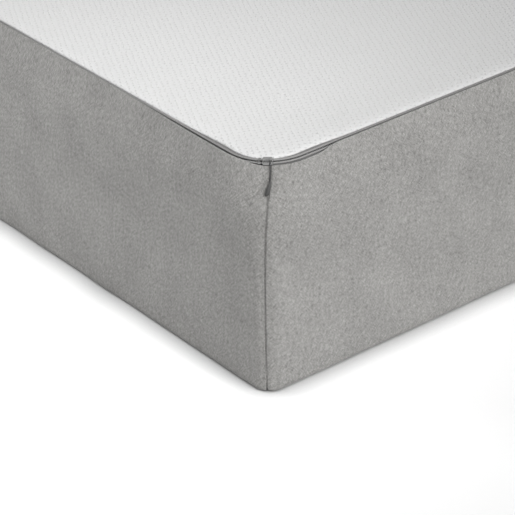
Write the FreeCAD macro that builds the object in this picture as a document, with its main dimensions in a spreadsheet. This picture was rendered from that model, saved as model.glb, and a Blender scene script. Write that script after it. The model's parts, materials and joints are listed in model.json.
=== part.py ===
import FreeCAD, Part
import Sketcher
import math
import os

# Memory foam mattress with a zip-off cover, in millimetres, +Z up.
# Origin: middle of the base, on the plane that the mattress stands on.
# +Y runs along the length and +X across the width.
# "Inset" is a distance in from the side wall, and "level" is a height above the base.
# "Across" and "proud" are measured in the zip's own tilted plane: across points up the
# slope, away from the side wall, and proud points out of the cover.

DIMENSIONS = {
    "width": 1500,
    "length": 2000,
    # Outline of the border, from the base up to the zip: inset, level, corner radius.
    "foot_inset": 3.0,
    "foot_level": 0.0,
    "foot_radius": 28.0,
    "heel_inset": 0.8,
    "heel_level": 2.5,
    "heel_radius": 30.0,
    "wall_inset": 0.0,
    "wall_level": 8.0,
    "wall_radius": 31.0,
    "crease_inset": 0.0,
    "crease_level": 198.0,
    "crease_radius": 44.0,
    "turn_inset": 0.9,
    "turn_level": 207.0,
    "turn_radius": 44.5,
    "band_inset": 3.2,
    "band_level": 214.5,
    "band_radius": 46.0,
    "rim_inset": 12.0,
    "rim_level": 241.2,
    "rim_radius": 55.5,
    # Lower cover.
    "border_thickness": 1.5,
    "seam_depth": 9.0,
    "seam_thickness": 2.4,
    "seam_bottom": 4.0,
    "seam_top": 226.0,
    "seam_start": 50.0,
    "seam_reach": 70.0,
    "lining_inset": 17.5,
    "lining_bottom": 2.8,
    "lining_top": 231.0,
    "base_inset": 4.9,
    "base_thickness": 2.0,
    "base_tape_thickness": 0.8,
    "tape_thickness": 0.8,
    # Foam core.
    "core_inset": 18.1,
    "core_radius": 60.0,
    "core_bottom": 2.3,
    "support_thickness": 150.0,
    "transition_thickness": 40.0,
    "memory_thickness": 40.0,
    # Top cover.
    "backing_inset": 19.5,
    "backing_bottom": 233.3,
    "backing_thickness": 0.8,
    "knit_thickness": 2.0,
    "knit_edge_inset": 19.9,
    "knit_edge_level": 248.3,
    "brow_inset": 30.0,
    "brow_level": 249.6,
    "crown_inset": 50.0,
    "crown_level": 250.0,
    "wadding_inset": 24.0,
    "wadding_shoulder": 241.0,
    "wadding_lip_inset": 29.0,
    "wadding_lip_level": 244.6,
    "label_width": 45.0,
    "label_length": 70.0,
    "label_thickness": 0.3,
    "label_gap": 0.3,
    "label_inset": 90.0,
    # Zip: where its centre line runs, and the section of its two sides.
    "zip_inset": 17.5,
    "zip_level": 243.6,
    "zip_radius": 50.0,
    "zip_slope": 43.0,
    "tape_gap": 0.7,
    "tape_bend": 3.0,
    "lower_tail_length": 10.0,
    "lower_tail_lean": 18.2,
    "upper_tail_length": 9.0,
    "upper_tail_rise": 8.0,
    "coil_gap": 0.5,
    "coil_width": 2.3,
    "coil_seat": 0.45,
    "coil_thickness": 1.9,
    "zip_end_gap": 6.5,
    "stop_length": 2.4,
    "stop_wall": 0.5,
    "stop_gap": 0.2,
    "stop_swing": -5.2,
    # Slider, and the pull that hangs from its bail. The slider parks just past the corner's
    # diagonal, and the pull hangs towards one end of the bail's bar.
    "parked_swing": 4.0,
    "slider_length": 10.0,
    "slider_half_width": 4.2,
    "rail_width": 1.0,
    "rail_bottom": 2.0,
    "plate_bottom": 2.75,
    "plate_thickness": 1.0,
    "web_thickness": 0.5,
    "web_length": 2.5,
    "back_half_width": 2.7,
    "back_top": 0.75,
    "back_thickness": 1.0,
    "slider_corner": 1.6,
    "bail_centre": 5.8,
    "bail_half_length": 4.2,
    "bail_bar": 1.0,
    "bail_leg": 1.2,
    "pull_lean": 30.5,
    "ring_radius": 1.35,
    "ring_wire": 0.45,
    "pull_aside": 2.4,
    "cord_width": 1.4,
    "cord_thickness": 1.0,
    "cord_start": 1.8,
    "cord_end": 20.5,
    "tab_thickness": 2.0,
    "tab_half_width": 1.9,
    "tab_length": 14.0,
    "tab_cut": 2.2,
    "tab_shift": 3.4,
    "tab_edge_radius": 0.6,
}

BORDER_SECTIONS = ("foot", "heel", "wall", "crease", "turn", "band", "rim")
NOTHING = "0 * dims.width"

doc = FreeCAD.newDocument("memory_foam_mattress")
dims = doc.addObject("Spreadsheet::Sheet", "dims")
for row, (alias, value) in enumerate(DIMENSIONS.items(), start=1):
    dims.set(f"A{row}", alias)
    dims.set(f"B{row}", str(value))
    dims.setAlias(f"B{row}", alias)
doc.recompute()

sub_parts = []


def finished(piece, label):
    """Give a piece its own name and put it on the list of pieces to write."""
    piece.Label = label
    sub_parts.append(piece)
    return piece


def new_body(name):
    return doc.addObject("PartDesign::Body", name)


def origin_plane(body, role):
    for feature in body.Origin.OriginFeatures:
        if feature.Role == role:
            return feature


def new_sketch(body, name, role, level="0"):
    """An empty sketch on one of the body's own planes, raised along its normal."""
    sketch = body.newObject("Sketcher::SketchObject", name)
    sketch.AttachmentSupport = [(origin_plane(body, role), "")]
    sketch.MapMode = "FlatFace"
    sketch.setExpression("AttachmentOffset.Base.z", level)
    return sketch


def bind(sketch, kind, *arguments):
    """Add a constraint; the last argument is the expression that its size is bound to.

    The argument before it is the size in the rough geometry, which the solver starts from.
    """
    index = sketch.addConstraint(Sketcher.Constraint(kind, *arguments[:-1]))
    sketch.setExpression(f"Constraints[{index}]", arguments[-1])


def polygon(body, name, role, points, level="0"):
    """A closed outline through the given points, each an (x, y) pair of expressions."""
    sketch = new_sketch(body, name, role, level)
    count = len(points)
    turns = [2 * math.pi * index / count + 0.1 for index in range(count)]
    rough = [FreeCAD.Vector(math.cos(turn), math.sin(turn), 0) for turn in turns]
    for index in range(count):
        sketch.addGeometry(Part.LineSegment(rough[index], rough[(index + 1) % count]), False)
    for index in range(count):
        sketch.addConstraint(Sketcher.Constraint("Coincident", index, 2, (index + 1) % count, 1))
    for index, (across, up) in enumerate(points):
        bind(sketch, "DistanceX", -1, 1, index, 1, rough[index].x, across)
        bind(sketch, "DistanceY", -1, 1, index, 1, rough[index].y, up)
    return sketch


def rounded_rectangle(sketch, start_in_a_side, radius, half_width, half_length):
    """Lines and tangent arcs about the origin, run anticlockwise from the right-hand side.

    The run starts either at the lower end of the right-hand side or in the middle of it.
    """
    vector = FreeCAD.Vector
    half_x, half_y, corner = 740.0, 990.0, 50.0
    inner_x, inner_y = half_x - corner, half_y - corner
    middles = [(inner_x, inner_y), (-inner_x, inner_y), (-inner_x, -inner_y), (inner_x, -inner_y)]
    start_y = 0 if start_in_a_side else -inner_y
    runs = [
        (vector(half_x, start_y, 0), vector(half_x, inner_y, 0)),
        (vector(inner_x, half_y, 0), vector(-inner_x, half_y, 0)),
        (vector(-half_x, inner_y, 0), vector(-half_x, -inner_y, 0)),
        (vector(-inner_x, -half_y, 0), vector(inner_x, -half_y, 0)),
    ]
    for index in range(4):
        sketch.addGeometry(Part.LineSegment(*runs[index]), False)
        circle = Part.Circle(vector(*middles[index], 0), vector(0, 0, 1), corner)
        angle = index * math.pi / 2
        sketch.addGeometry(Part.ArcOfCircle(circle, angle, angle + math.pi / 2), False)
    if start_in_a_side:
        last_run = Part.LineSegment(vector(half_x, -inner_y, 0), vector(half_x, 0, 0))
        sketch.addGeometry(last_run, False)
        sketch.addConstraint(Sketcher.Constraint("Vertical", 8))
        for index in range(8):
            sketch.addConstraint(Sketcher.Constraint("Tangent", index, 2, index + 1, 1))
        sketch.addConstraint(Sketcher.Constraint("Coincident", 8, 2, 0, 1))
        sketch.addConstraint(Sketcher.Constraint("PointOnObject", 0, 1, -1))
    else:
        for index in range(8):
            sketch.addConstraint(Sketcher.Constraint("Tangent", index, 2, (index + 1) % 8, 1))
    for index in (0, 4):
        sketch.addConstraint(Sketcher.Constraint("Vertical", index))
    for index in (2, 6):
        sketch.addConstraint(Sketcher.Constraint("Horizontal", index))
    for index in (3, 5, 7):
        sketch.addConstraint(Sketcher.Constraint("Equal", 1, index))
    sketch.addConstraint(Sketcher.Constraint("Symmetric", 1, 3, 5, 3, -1, 1))
    bind(sketch, "Radius", 1, corner, radius)
    bind(sketch, "DistanceX", -1, 1, 0, 1, half_x, half_width)
    bind(sketch, "DistanceY", -1, 1, 2, 1, half_y, half_length)
    return sketch


def rounded_outline(body, name, inset, radius, level):
    """A rounded rectangle about the Z axis, a given inset inside the side walls."""
    sketch = new_sketch(body, name, "XY_Plane", level)
    half_width = f"dims.width / 2 - ({inset})"
    half_length = f"dims.length / 2 - ({inset})"
    return rounded_rectangle(sketch, False, radius, half_width, half_length)


def lofted(name, sections):
    """A body with straight flanks between rounded outlines: (inset, radius, level) each."""
    body = new_body(name)
    outlines = []
    for index, (inset, radius, level) in enumerate(sections):
        outlines.append(rounded_outline(body, f"{name}_outline_{index}", inset, radius, level))
    loft = body.newObject("PartDesign::AdditiveLoft", f"{name}_loft")
    loft.Profile = outlines[0]
    loft.Sections = outlines[1:]
    loft.Ruled = True
    return body


def slab(name, inset, radius, bottom, thickness):
    """A level slab with a rounded rectangular outline."""
    body = new_body(name)
    pad = body.newObject("PartDesign::Pad", f"{name}_pad")
    pad.Profile = rounded_outline(body, f"{name}_outline", inset, radius, bottom)
    pad.setExpression("Length", thickness)
    return body


def box(name, length, width, height):
    piece = doc.addObject("Part::Box", name)
    piece.setExpression("Length", length)
    piece.setExpression("Width", width)
    piece.setExpression("Height", height)
    return piece


def place(piece, x, y, z, rotation):
    """Turn a piece and bind its position to the dimensions."""
    piece.Placement = FreeCAD.Placement(FreeCAD.Vector(), rotation)
    piece.setExpression("Placement.Base.x", x)
    piece.setExpression("Placement.Base.y", y)
    piece.setExpression("Placement.Base.z", z)
    return piece


def about_vertical(degrees):
    return FreeCAD.Rotation(FreeCAD.Vector(0, 0, 1), degrees)


def cut(name, base, tool):
    piece = doc.addObject("Part::Cut", name)
    piece.Base = base
    piece.Tool = tool
    return piece


def common(name, first, second):
    piece = doc.addObject("Part::Common", name)
    piece.Base = first
    piece.Tool = second
    return piece


def concentric_radius(inset):
    """Corner radius of an outline that keeps the zip's own corner centre."""
    return f"dims.zip_radius + dims.zip_inset - ({inset})"


# ---------------------------------------------------------------- lower cover: border

def border_form(name, offset):
    """The border's outline as a solid, moved in from its outer face by an offset."""
    sections = []
    for section in BORDER_SECTIONS:
        inset = f"dims.{section}_inset + {offset}"
        radius = f"dims.{section}_radius - {offset}"
        sections.append((inset, radius, f"dims.{section}_level"))
    return lofted(name, sections)


outer_form = border_form("outer_form", NOTHING)
skin_form = border_form("skin_form", "dims.border_thickness")
seam_form = border_form("seam_form", "(dims.border_thickness + dims.seam_depth)")
border_shell = cut("border_shell", outer_form, skin_form)
seam_shell = cut("seam_shell", skin_form, seam_form)
core_room = slab("core_room", "dims.lining_inset", concentric_radius("dims.lining_inset"),
                 NOTHING, "dims.rim_level")
lining_shell = cut("lining_shell", skin_form, core_room)

# The sides meet on the diagonals of the corners, so each side is what lies inside a
# square prism that stands on its corner behind the middle of that side.
# Each side: which way it faces, its distance apart from its opposite, and its own run.
SIDES = {
    "right": (0, "dims.width", "dims.length"),
    "back": (90, "dims.length", "dims.width"),
    "left": (180, "dims.width", "dims.length"),
    "front": (270, "dims.length", "dims.width"),
}


def side_prism(name, side, gap, bottom, top):
    """A square prism whose two inner faces lie along the mitres at a side's ends."""
    facing, apart, run = SIDES[side]
    size = f"({run} + 100) / sqrt(2)"
    depth = f"(({apart} - {run}) / 2 + {gap})"
    out_x = round(math.cos(math.radians(facing)))
    out_y = round(math.sin(math.radians(facing)))
    piece = box(name, size, size, f"{top} - {bottom}")
    return place(piece, f"{out_x} * {depth}", f"{out_y} * {depth}", bottom, about_vertical(facing - 45))


for side in SIDES:
    panel_prism = side_prism(f"{side}_panel_prism", side, NOTHING, NOTHING, "dims.rim_level")
    finished(common(f"{side}_panel", border_shell, panel_prism), f"border_panel_{side}")
    lining_prism = side_prism(f"{side}_lining_prism", side, "dims.seam_thickness / sqrt(2)",
                              "dims.lining_bottom", "dims.lining_top")
    finished(common(f"{side}_lining", lining_shell, lining_prism), f"border_wadding_{side}")

# Where two border panels meet, their turned-in edges lie flat against each other on the
# corner's diagonal.
CORNERS = {
    "front_right": (1, -1),
    "back_right": (1, 1),
    "back_left": (-1, 1),
    "front_left": (-1, -1),
}

for corner, (side_x, side_y) in CORNERS.items():
    facing = math.degrees(math.atan2(side_y, side_x))
    half_x = f"dims.seam_thickness / 2 * {round(math.sin(math.radians(facing)), 9)}"
    half_y = f"dims.seam_thickness / 2 * {round(math.cos(math.radians(facing)), 9)}"
    plate = box(f"{corner}_plate", "dims.seam_reach", "dims.seam_thickness",
                "dims.seam_top - dims.seam_bottom")
    place(plate,
          f"{side_x} * (dims.width / 2 - dims.seam_start) + {half_x}",
          f"{side_y} * (dims.length / 2 - dims.seam_start) - {half_y}",
          "dims.seam_bottom", about_vertical(facing))
    finished(common(f"{corner}_seam", seam_shell, plate), f"corner_seam_{corner}")

# ---------------------------------------------------------------- lower cover: base

base_radius = "dims.foot_radius - dims.base_inset + dims.foot_inset"
base_sheet = slab("base_sheet", "dims.base_inset", base_radius, NOTHING, "dims.base_thickness")
finished(base_sheet, "base_panel")

base_tape = slab("base_tape", "dims.base_inset", base_radius, "dims.base_thickness",
                 "dims.base_tape_thickness")
tape_hole = base_tape.newObject("PartDesign::Pocket", "base_tape_hole")
tape_hole.Profile = rounded_outline(base_tape, "base_tape_hole_outline", "dims.lining_inset",
                                    concentric_radius("dims.lining_inset"),
                                    "dims.base_thickness + dims.base_tape_thickness")
tape_hole.setExpression("Length", "dims.base_tape_thickness")
finished(base_tape, "base_seam_tape")

# ---------------------------------------------------------------- foam core

# The core's corners are rounder than the cover's, so that it lifts out past the slider.
layer_bottom = "dims.core_bottom"
for layer in ("support", "transition", "memory"):
    thickness = f"dims.{layer}_thickness"
    foam = slab(layer, "dims.core_inset", "dims.core_radius", layer_bottom, thickness)
    finished(foam, f"{layer}_foam")
    layer_bottom = f"{layer_bottom} + {thickness}"

# ---------------------------------------------------------------- top cover: panels

def top_section(inset, level):
    return (inset, concentric_radius(inset), level)


def knit_form(name, drop):
    """The knit panel's top face and edge as a solid, lowered by a drop."""
    return lofted(name, [
        top_section("dims.knit_edge_inset", f"dims.knit_edge_level - dims.knit_thickness - {drop}"),
        top_section("dims.knit_edge_inset", f"dims.knit_edge_level - {drop}"),
        top_section("dims.brow_inset", f"dims.brow_level - {drop}"),
        top_section("dims.crown_inset", f"dims.crown_level - {drop}"),
    ])


knit = cut("knit", knit_form("knit_outside", NOTHING), knit_form("knit_inside", "dims.knit_thickness"))
finished(knit, "top_knit_panel")

filling = lofted("filling", [
    top_section("dims.wadding_inset", "dims.backing_bottom + dims.backing_thickness"),
    top_section("dims.wadding_inset", "dims.wadding_shoulder"),
    top_section("dims.wadding_lip_inset", "dims.wadding_lip_level"),
    top_section("dims.brow_inset", "dims.brow_level - dims.knit_thickness"),
    top_section("dims.crown_inset", "dims.crown_level - dims.knit_thickness"),
])
finished(filling, "top_wadding")

backing = slab("backing", "dims.backing_inset", concentric_radius("dims.backing_inset"),
               "dims.backing_bottom", "dims.backing_thickness")
finished(backing, "top_backing")

label = box("label", "dims.label_width", "dims.label_length", "dims.label_thickness")
place(label,
      "dims.width / 2 - dims.label_inset - dims.label_width",
      "dims.label_inset - dims.length / 2",
      "dims.backing_bottom - dims.label_gap - dims.label_thickness",
      about_vertical(0))
finished(label, "care_label")

# ---------------------------------------------------------------- zip: tapes and coils

def zip_point(across, proud, tail_x=NOTHING, tail_z=NOTHING):
    """A point of the zip's section on the right-hand side, as (x, level) expressions."""
    across_x = f"({across}) * cos(dims.zip_slope)"
    across_z = f"({across}) * sin(dims.zip_slope)"
    proud_x = f"({proud}) * sin(dims.zip_slope)"
    proud_z = f"({proud}) * cos(dims.zip_slope)"
    x = f"dims.width / 2 - dims.zip_inset - {across_x} + {proud_x} + {tail_x}"
    z = f"dims.zip_level + {across_z} + {proud_z} + {tail_z}"
    return (x, z)


def ring_along_zip(name, points):
    """A strip of constant section that runs round the whole perimeter."""
    body = new_body(name)
    profile = polygon(body, f"{name}_section", "XZ_Plane", points)
    path = new_sketch(body, f"{name}_path", "XY_Plane", "dims.zip_level")
    rounded_rectangle(path, True, "dims.zip_radius", "dims.width / 2 - dims.zip_inset",
                      "dims.length / 2 - dims.zip_inset")
    pipe = body.newObject("PartDesign::AdditivePipe", f"{name}_pipe")
    pipe.Profile = profile
    pipe.Spine = (path, [])
    return body


def tape_section(side, tail_x, tail_z):
    """Flat beside the coil, then bent to follow the fabric; side is -1 below, 1 above."""
    face = "dims.tape_thickness / 2"
    edge = f"{side} * dims.tape_gap"
    bend = f"{side} * dims.tape_bend"
    return [
        zip_point(edge, face),
        zip_point(bend, face),
        zip_point(bend, face, tail_x, tail_z),
        zip_point(bend, f"-{face}", tail_x, tail_z),
        zip_point(bend, f"-{face}"),
        zip_point(edge, f"-{face}"),
    ]


def coil_section(side):
    near = f"{side} * dims.coil_gap"
    far = f"{side} * (dims.coil_gap + dims.coil_width)"
    top = "dims.coil_seat + dims.coil_thickness"
    return [
        zip_point(near, "dims.coil_seat"),
        zip_point(far, "dims.coil_seat"),
        zip_point(far, top),
        zip_point(near, top),
    ]


lower_tape = ring_along_zip("lower_tape", tape_section(
    -1,
    "dims.lower_tail_length * sin(dims.lower_tail_lean)",
    "-1 * dims.lower_tail_length * cos(dims.lower_tail_lean)"))
finished(lower_tape, "zip_tape_lower")
upper_tape = ring_along_zip("upper_tape", tape_section(
    1,
    "-1 * dims.upper_tail_length * cos(dims.upper_tail_rise)",
    "dims.upper_tail_length * sin(dims.upper_tail_rise)"))
lower_coil = ring_along_zip("lower_coil", coil_section(-1))
upper_coil = ring_along_zip("upper_coil", coil_section(1))


def at_zip_end(piece, swing, rotation, radius="dims.zip_radius", aside=NOTHING, level="dims.zip_level"):
    """Place a piece on the corner's diagonal, or swung round the corner from it.

    Radius is measured from the corner's centre, and aside at right angles to it.
    """
    angle = f"({swing} - 45)"
    x = (f"dims.width / 2 - dims.zip_inset - dims.zip_radius + {radius} * cos({angle})"
         f" + {aside} * sin({angle})")
    y = (f"dims.zip_inset + dims.zip_radius - dims.length / 2 + {radius} * sin({angle})"
         f" - {aside} * cos({angle})")
    return place(piece, x, y, level, rotation)


def zip_end_notch(name, swing, turn, half_length):
    """A block across the zip at the corner where its two ends meet."""
    block = box(name, "2 * dims.zip_radius", f"2 * ({half_length})", "dims.zip_radius")
    level = "dims.zip_level - dims.zip_radius / 2"
    return at_zip_end(block, swing, about_vertical(turn - 45), NOTHING, half_length, level)


# The upper side of the zip ends on both sides of the parked slider, and both coils end
# in a stop on the slider's left.
stop_turn = DIMENSIONS["stop_swing"]
parked_turn = DIMENSIONS["parked_swing"]
tape_notch = zip_end_notch("tape_notch", "dims.parked_swing", parked_turn, "dims.zip_end_gap")
coil_notch = zip_end_notch("coil_notch", "dims.parked_swing", parked_turn, "dims.zip_end_gap")
finished(cut("upper_tape_open", upper_tape, tape_notch), "zip_tape_upper")
upper_coil_open = cut("upper_coil_open", upper_coil, coil_notch)
for name, coil, label in (("lower", lower_coil, "zip_coil_lower"),
                          ("upper", upper_coil_open, "zip_coil_upper")):
    stop_notch = zip_end_notch(f"{name}_stop_notch", "dims.stop_swing", stop_turn,
                               "(dims.stop_length / 2 + dims.stop_gap)")
    finished(cut(f"{name}_coil_stopped", coil, stop_notch), label)


def tilted(turn, tilt):
    """Local X along the zip, local Y up the slope and local Z out of the cover."""
    return about_vertical(45 + turn).multiply(FreeCAD.Rotation(FreeCAD.Vector(1, 0, 0), tilt))


def outline_pad(body, name, role, points, length):
    """A closed outline drawn out evenly on both sides of one of the body's planes."""
    pad = body.newObject("PartDesign::Pad", name)
    pad.Profile = polygon(body, f"{name}_outline", role, points)
    pad.Midplane = True
    pad.setExpression("Length", length)
    return pad


def rectangle(left, right, bottom, top):
    return [(left, bottom), (right, bottom), (right, top), (left, top)]


def round_bar(body, name, role, height, radius, length):
    """A round bar across one of the body's planes, at a height above its middle."""
    sketch = new_sketch(body, f"{name}_outline", role)
    rough = FreeCAD.Vector(0, 1, 0)
    circle = sketch.addGeometry(Part.Circle(rough, FreeCAD.Vector(0, 0, 1), 1))
    sketch.addConstraint(Sketcher.Constraint("PointOnObject", circle, 3, -2))
    bind(sketch, "DistanceY", -1, 1, circle, 3, 1, height)
    bind(sketch, "Radius", circle, 1, radius)
    bar = body.newObject("PartDesign::Pad", name)
    bar.Profile = sketch
    bar.Midplane = True
    bar.setExpression("Length", length)


zip_slope = DIMENSIONS["zip_slope"]
for name, side in (("lower", -1), ("upper", 1)):
    stop = new_body(f"{name}_stop")
    outline_pad(stop, f"{name}_stop_pad", "YZ_Plane", rectangle(
        f"{side} * dims.coil_gap",
        f"{side} * (dims.coil_gap + dims.coil_width + dims.stop_wall)",
        "dims.coil_seat",
        "dims.coil_seat + dims.coil_thickness + dims.stop_wall"), "dims.stop_length")
    at_zip_end(stop, "dims.stop_swing", tilted(stop_turn, zip_slope))
    finished(stop, f"zip_stop_{name}")

# ---------------------------------------------------------------- slider and bail

slider = new_body("slider")
plate_top = "dims.plate_bottom + dims.plate_thickness"
rail_side = "dims.slider_half_width - dims.rail_width"
outline_pad(slider, "slider_plate", "YZ_Plane", [
    ("-dims.slider_half_width", "dims.rail_bottom"),
    (f"-({rail_side})", "dims.rail_bottom"),
    (f"-({rail_side})", "dims.plate_bottom"),
    (rail_side, "dims.plate_bottom"),
    (rail_side, "dims.rail_bottom"),
    ("dims.slider_half_width", "dims.rail_bottom"),
    ("dims.slider_half_width", plate_top),
    ("-dims.slider_half_width", plate_top),
], "dims.slider_length")
outline_pad(slider, "slider_web", "YZ_Plane", rectangle(
    "-dims.web_thickness / 2", "dims.web_thickness / 2", "-dims.back_top", "dims.plate_bottom"),
    "dims.web_length")
back_plate = outline_pad(slider, "slider_back", "YZ_Plane", rectangle(
    "-dims.back_half_width", "dims.back_half_width",
    "-(dims.back_top + dims.back_thickness)", "-dims.back_top"), "dims.slider_length")
doc.recompute()


def upright_edges(shape, half_length, half_width):
    """Names of the edges along local Z at the outline's four corners."""
    names = []
    for index, edge in enumerate(shape.Edges, start=1):
        start, end = edge.Vertexes[0].Point, edge.Vertexes[-1].Point
        along_z = abs(start.x - end.x) < 1e-6 and abs(start.y - end.y) < 1e-6
        at_corner = abs(abs(start.x) - half_length) < 1e-6 and abs(abs(start.y) - half_width) < 1e-6
        if along_z and at_corner:
            names.append(f"Edge{index}")
    return names


corners = upright_edges(back_plate.Shape, dims.slider_length / 2, dims.slider_half_width)
rounding = slider.newObject("PartDesign::Fillet", "slider_rounding")
rounding.Base = (back_plate, corners)
rounding.setExpression("Radius", "dims.slider_corner")
at_zip_end(slider, "dims.parked_swing", tilted(parked_turn, zip_slope))
finished(slider, "slider_body")

bail = new_body("bail")
leg_side = "(dims.bail_half_length - dims.bail_leg)"
for name, left, right in (("left", "-dims.bail_half_length", f"-{leg_side}"),
                          ("right", leg_side, "dims.bail_half_length")):
    outline_pad(bail, f"bail_{name}_leg", "XZ_Plane",
                rectangle(left, right, plate_top, "dims.bail_centre"), "dims.bail_bar")
round_bar(bail, "bail_bar", "YZ_Plane", "dims.bail_centre", "dims.bail_bar / 2",
          "2 * dims.bail_half_length")
at_zip_end(bail, "dims.parked_swing", tilted(parked_turn, zip_slope))
finished(bail, "slider_bail")

# ---------------------------------------------------------------- pull

# The pull's pieces are drawn about the bail's bar, with local Y up the pull.
bar_radius = "(dims.zip_radius + dims.bail_centre * sin(dims.zip_slope))"
bar_level = "dims.zip_level + dims.bail_centre * cos(dims.zip_slope)"
pull_tilt = 90 - DIMENSIONS["pull_lean"]


def on_bail(piece, rotation):
    return at_zip_end(piece, "dims.parked_swing", rotation, bar_radius, "-dims.pull_aside", bar_level)


ring = doc.addObject("Part::Torus", "ring")
ring.setExpression("Radius1", "dims.ring_radius")
ring.setExpression("Radius2", "dims.ring_wire")
on_bail(ring, tilted(parked_turn, pull_tilt).multiply(FreeCAD.Rotation(FreeCAD.Vector(0, 1, 0), 90)))
finished(ring, "pull_ring")

cord = new_body("cord")
outline_pad(cord, "cord_strip", "XY_Plane", rectangle(
    "-dims.cord_width / 2", "dims.cord_width / 2", "-dims.cord_end", "-dims.cord_start"),
    "dims.cord_thickness")
on_bail(cord, tilted(parked_turn, pull_tilt))
finished(cord, "pull_cord")

# The tab leans to one side, and its lower end is cut at a slant.
tab = new_body("tab")
tab_end = "(dims.cord_end + dims.tab_length)"
outline_pad(tab, "tab_plate", "XY_Plane", [
    ("-dims.tab_half_width + dims.tab_shift / 4", "-dims.cord_end - dims.tab_cut"),
    ("-dims.tab_half_width - dims.tab_shift", f"-{tab_end} + dims.tab_cut"),
    ("-dims.tab_half_width - dims.tab_shift / 2", f"-{tab_end}"),
    ("dims.tab_half_width - dims.tab_shift", f"-{tab_end} + dims.tab_cut"),
    ("dims.cord_width / 2 + dims.tab_edge_radius", "-dims.cord_end - dims.tab_cut"),
    ("dims.cord_width / 2", "-dims.cord_end"),
    ("-dims.cord_width / 2", "-dims.cord_end"),
], "dims.tab_thickness")
on_bail(tab, tilted(parked_turn, pull_tilt))
finished(tab, "pull_tab")

# ---------------------------------------------------------------- check and write

doc.recompute()
for item in doc.Objects:
    if "Invalid" in item.State or "Error" in item.State:
        raise RuntimeError(f"{item.Name} ({item.Label}) did not build: {item.State}")
for piece in sub_parts:
    if piece.Shape.isNull() or not piece.Shape.isValid() or not piece.Shape.Solids:
        raise RuntimeError(f"{piece.Label} has no valid solid")

os.makedirs("parts", exist_ok=True)
for piece in sub_parts:
    piece.Shape.exportStep(f"parts/{piece.Label}.step")
    print(f"{piece.Label}: {len(piece.Shape.Solids)} solid(s), {piece.Shape.Volume / 1000:.1f} cm3")
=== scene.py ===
import json
import math

import bmesh
import bpy
import numpy as np
from mathutils import Matrix, Vector


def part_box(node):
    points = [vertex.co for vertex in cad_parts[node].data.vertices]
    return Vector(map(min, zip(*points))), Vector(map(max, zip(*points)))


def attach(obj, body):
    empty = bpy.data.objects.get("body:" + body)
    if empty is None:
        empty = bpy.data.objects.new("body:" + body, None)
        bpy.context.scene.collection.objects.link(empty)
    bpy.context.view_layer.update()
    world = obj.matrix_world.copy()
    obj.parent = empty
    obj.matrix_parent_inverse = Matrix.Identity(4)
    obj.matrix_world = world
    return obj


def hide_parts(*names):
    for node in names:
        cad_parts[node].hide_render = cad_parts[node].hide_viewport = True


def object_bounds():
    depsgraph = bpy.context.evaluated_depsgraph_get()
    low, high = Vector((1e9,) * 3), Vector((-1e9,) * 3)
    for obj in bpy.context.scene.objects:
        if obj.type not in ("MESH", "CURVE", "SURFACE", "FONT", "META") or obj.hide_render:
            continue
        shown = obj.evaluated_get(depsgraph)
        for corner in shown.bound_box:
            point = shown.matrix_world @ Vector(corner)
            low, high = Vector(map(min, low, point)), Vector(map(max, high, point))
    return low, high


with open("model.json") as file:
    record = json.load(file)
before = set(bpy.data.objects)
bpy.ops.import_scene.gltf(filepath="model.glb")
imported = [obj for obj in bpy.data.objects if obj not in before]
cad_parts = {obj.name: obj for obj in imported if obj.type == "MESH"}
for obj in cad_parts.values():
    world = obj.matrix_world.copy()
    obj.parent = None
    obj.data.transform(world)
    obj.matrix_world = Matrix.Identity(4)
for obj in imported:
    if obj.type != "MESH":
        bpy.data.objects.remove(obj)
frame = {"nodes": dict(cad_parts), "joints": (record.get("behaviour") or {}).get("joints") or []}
cad_low, cad_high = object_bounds()

# A memory foam mattress with a zip-off cover, in metres. Every piece is drawn about the
# mattress's own plan: an "inset" is a distance in from the side wall, a "level" is a height
# above the base, and an outline is a rectangle at an inset, with rounded corners.

half_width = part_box("border_panel_right")[1].x
half_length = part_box("border_panel_back")[1].y
joints = {joint["name"]: joint for joint in frame["joints"]}
corner_centre = Vector(joints["zip_slider_corner"]["pos_m"])
bail_bar = Vector(joints["zip_pull_swing"]["pos_m"])
zip_level = corner_centre.z
zip_radius = 0.050
zip_inset = half_width - corner_centre.x - zip_radius
zip_slope = math.radians(43)
concentric_reach = zip_inset + zip_radius

# Each side: the way that it faces, the way along it, and its distance out and half its run.
SIDES = {
    "right": ((1, 0), (0, 1), half_width, half_length),
    "back": ((0, 1), (-1, 0), half_length, half_width),
    "left": ((-1, 0), (0, -1), half_width, half_length),
    "front": ((0, -1), (1, 0), half_length, half_width),
}
EIGHTH = math.pi / 4


# ---------------------------------------------------------------- outlines and grids

def graded(length, fine, coarse, growth):
    """Distances from 0 to half a length and on to its end, closest together at both ends."""
    steps = [0.0]
    while steps[-1] < length / 2:
        steps.append(steps[-1] + min(coarse, fine + growth * steps[-1]))
    half = np.array(steps) * (length / 2 / steps[-1])
    return np.concatenate([half, length - half[-2::-1]])


class Stations:
    """Places along one side, from the middle of one corner to the middle of the next.

    A place is an angle round a corner, from -45 to 45 degrees and 0 between the corners,
    and a share of the straight run, from -1 to 1.
    """

    def __init__(self, run, fine, coarse, growth, seam_fine=None, corner_radius=0.04):
        arc_length = corner_radius * EIGHTH
        steps = [0.0]
        step = seam_fine or fine
        while steps[-1] < arc_length:
            steps.append(steps[-1] + min(fine, step + 0.25 * steps[-1]))
        arc = np.array(steps) / steps[-1] * EIGHTH
        straight = graded(2 * run, fine, coarse, growth) / run - 1
        middle = straight[1:-1]
        self.turn = np.concatenate([arc - EIGHTH, 0 * middle, (EIGHTH - arc)[::-1]])
        self.along = np.concatenate([0 * arc - 1, middle, 0 * arc + 1])


def seam_stray(level):
    """How far round the near corner its seam lies from the diagonal, as an angle."""
    stray_at_base = -0.082
    stray_per_metre = 0.86
    return stray_at_base + stray_per_metre * level


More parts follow.
